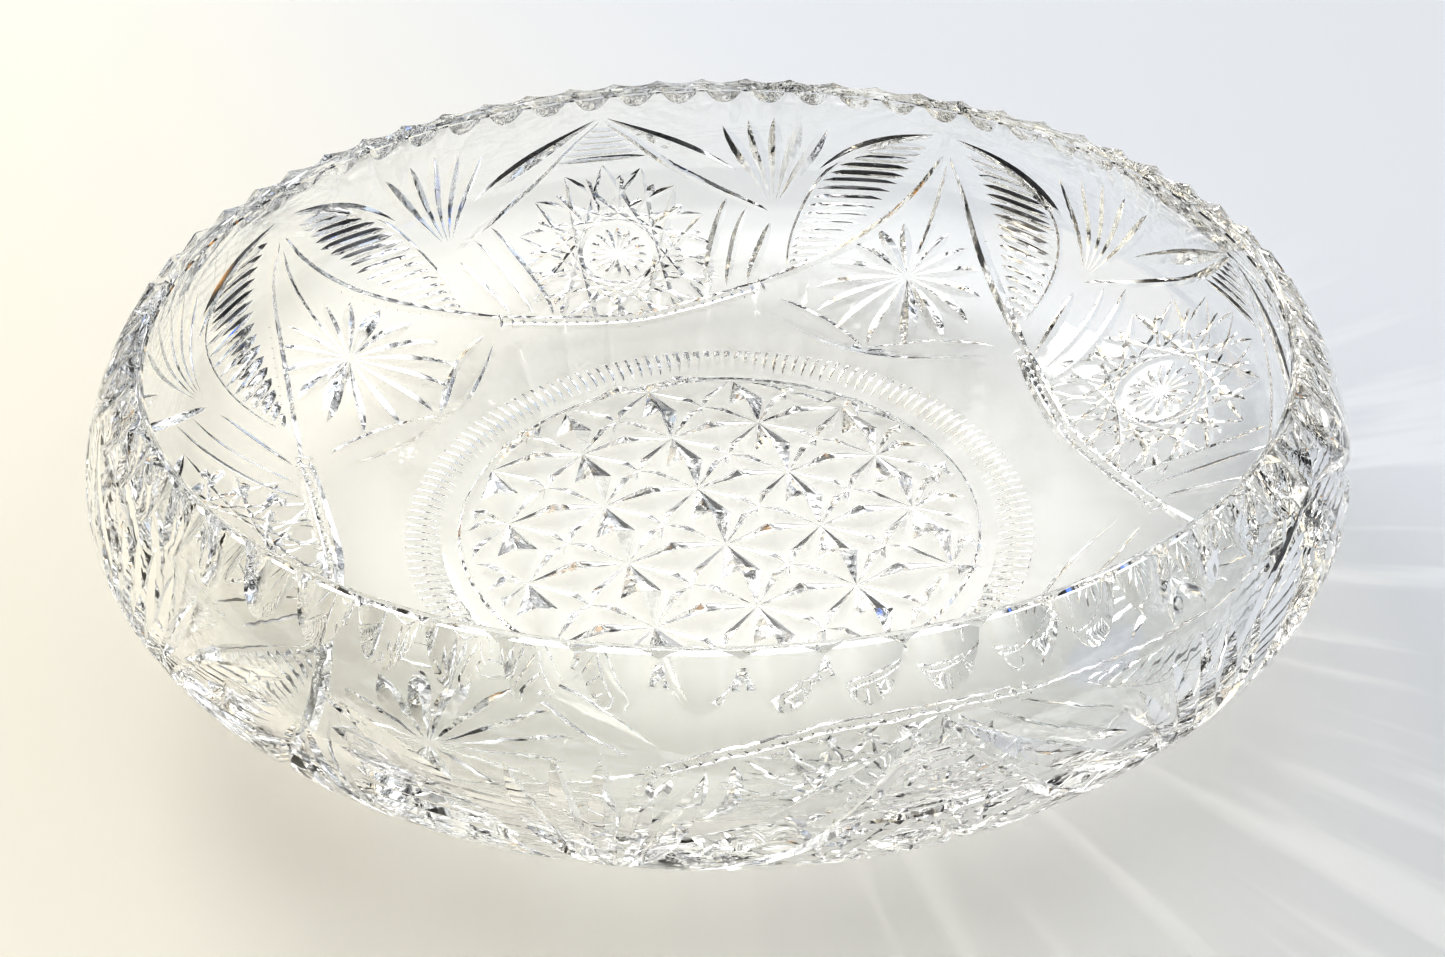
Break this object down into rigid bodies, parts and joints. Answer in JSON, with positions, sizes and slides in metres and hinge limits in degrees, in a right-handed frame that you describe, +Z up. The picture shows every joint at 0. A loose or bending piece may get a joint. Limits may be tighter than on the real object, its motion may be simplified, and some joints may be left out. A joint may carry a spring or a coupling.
{
  "type": "cut glass bowl",
  "caption": "Low round bowl of clear cut glass with an in-curved fluted rim, a star-cut foot and pointed star panels round the wall.",
  "frame": {"origin": "centre of the plane that the foot stands on", "axes": "+Z up along the bowl's axis; +X and +Y across the rim, with a hobstar panel 14.5 degrees from +X towards +Y"},
  "size_m": [0.252, 0.252, 0.064],
  "materials": {
    "clear_crystal": "polished clear lead crystal with bright mitre cuts"
  },
  "bodies": {
    "root": {"bowl": "clear_crystal"}
  },
  "joints": []
}
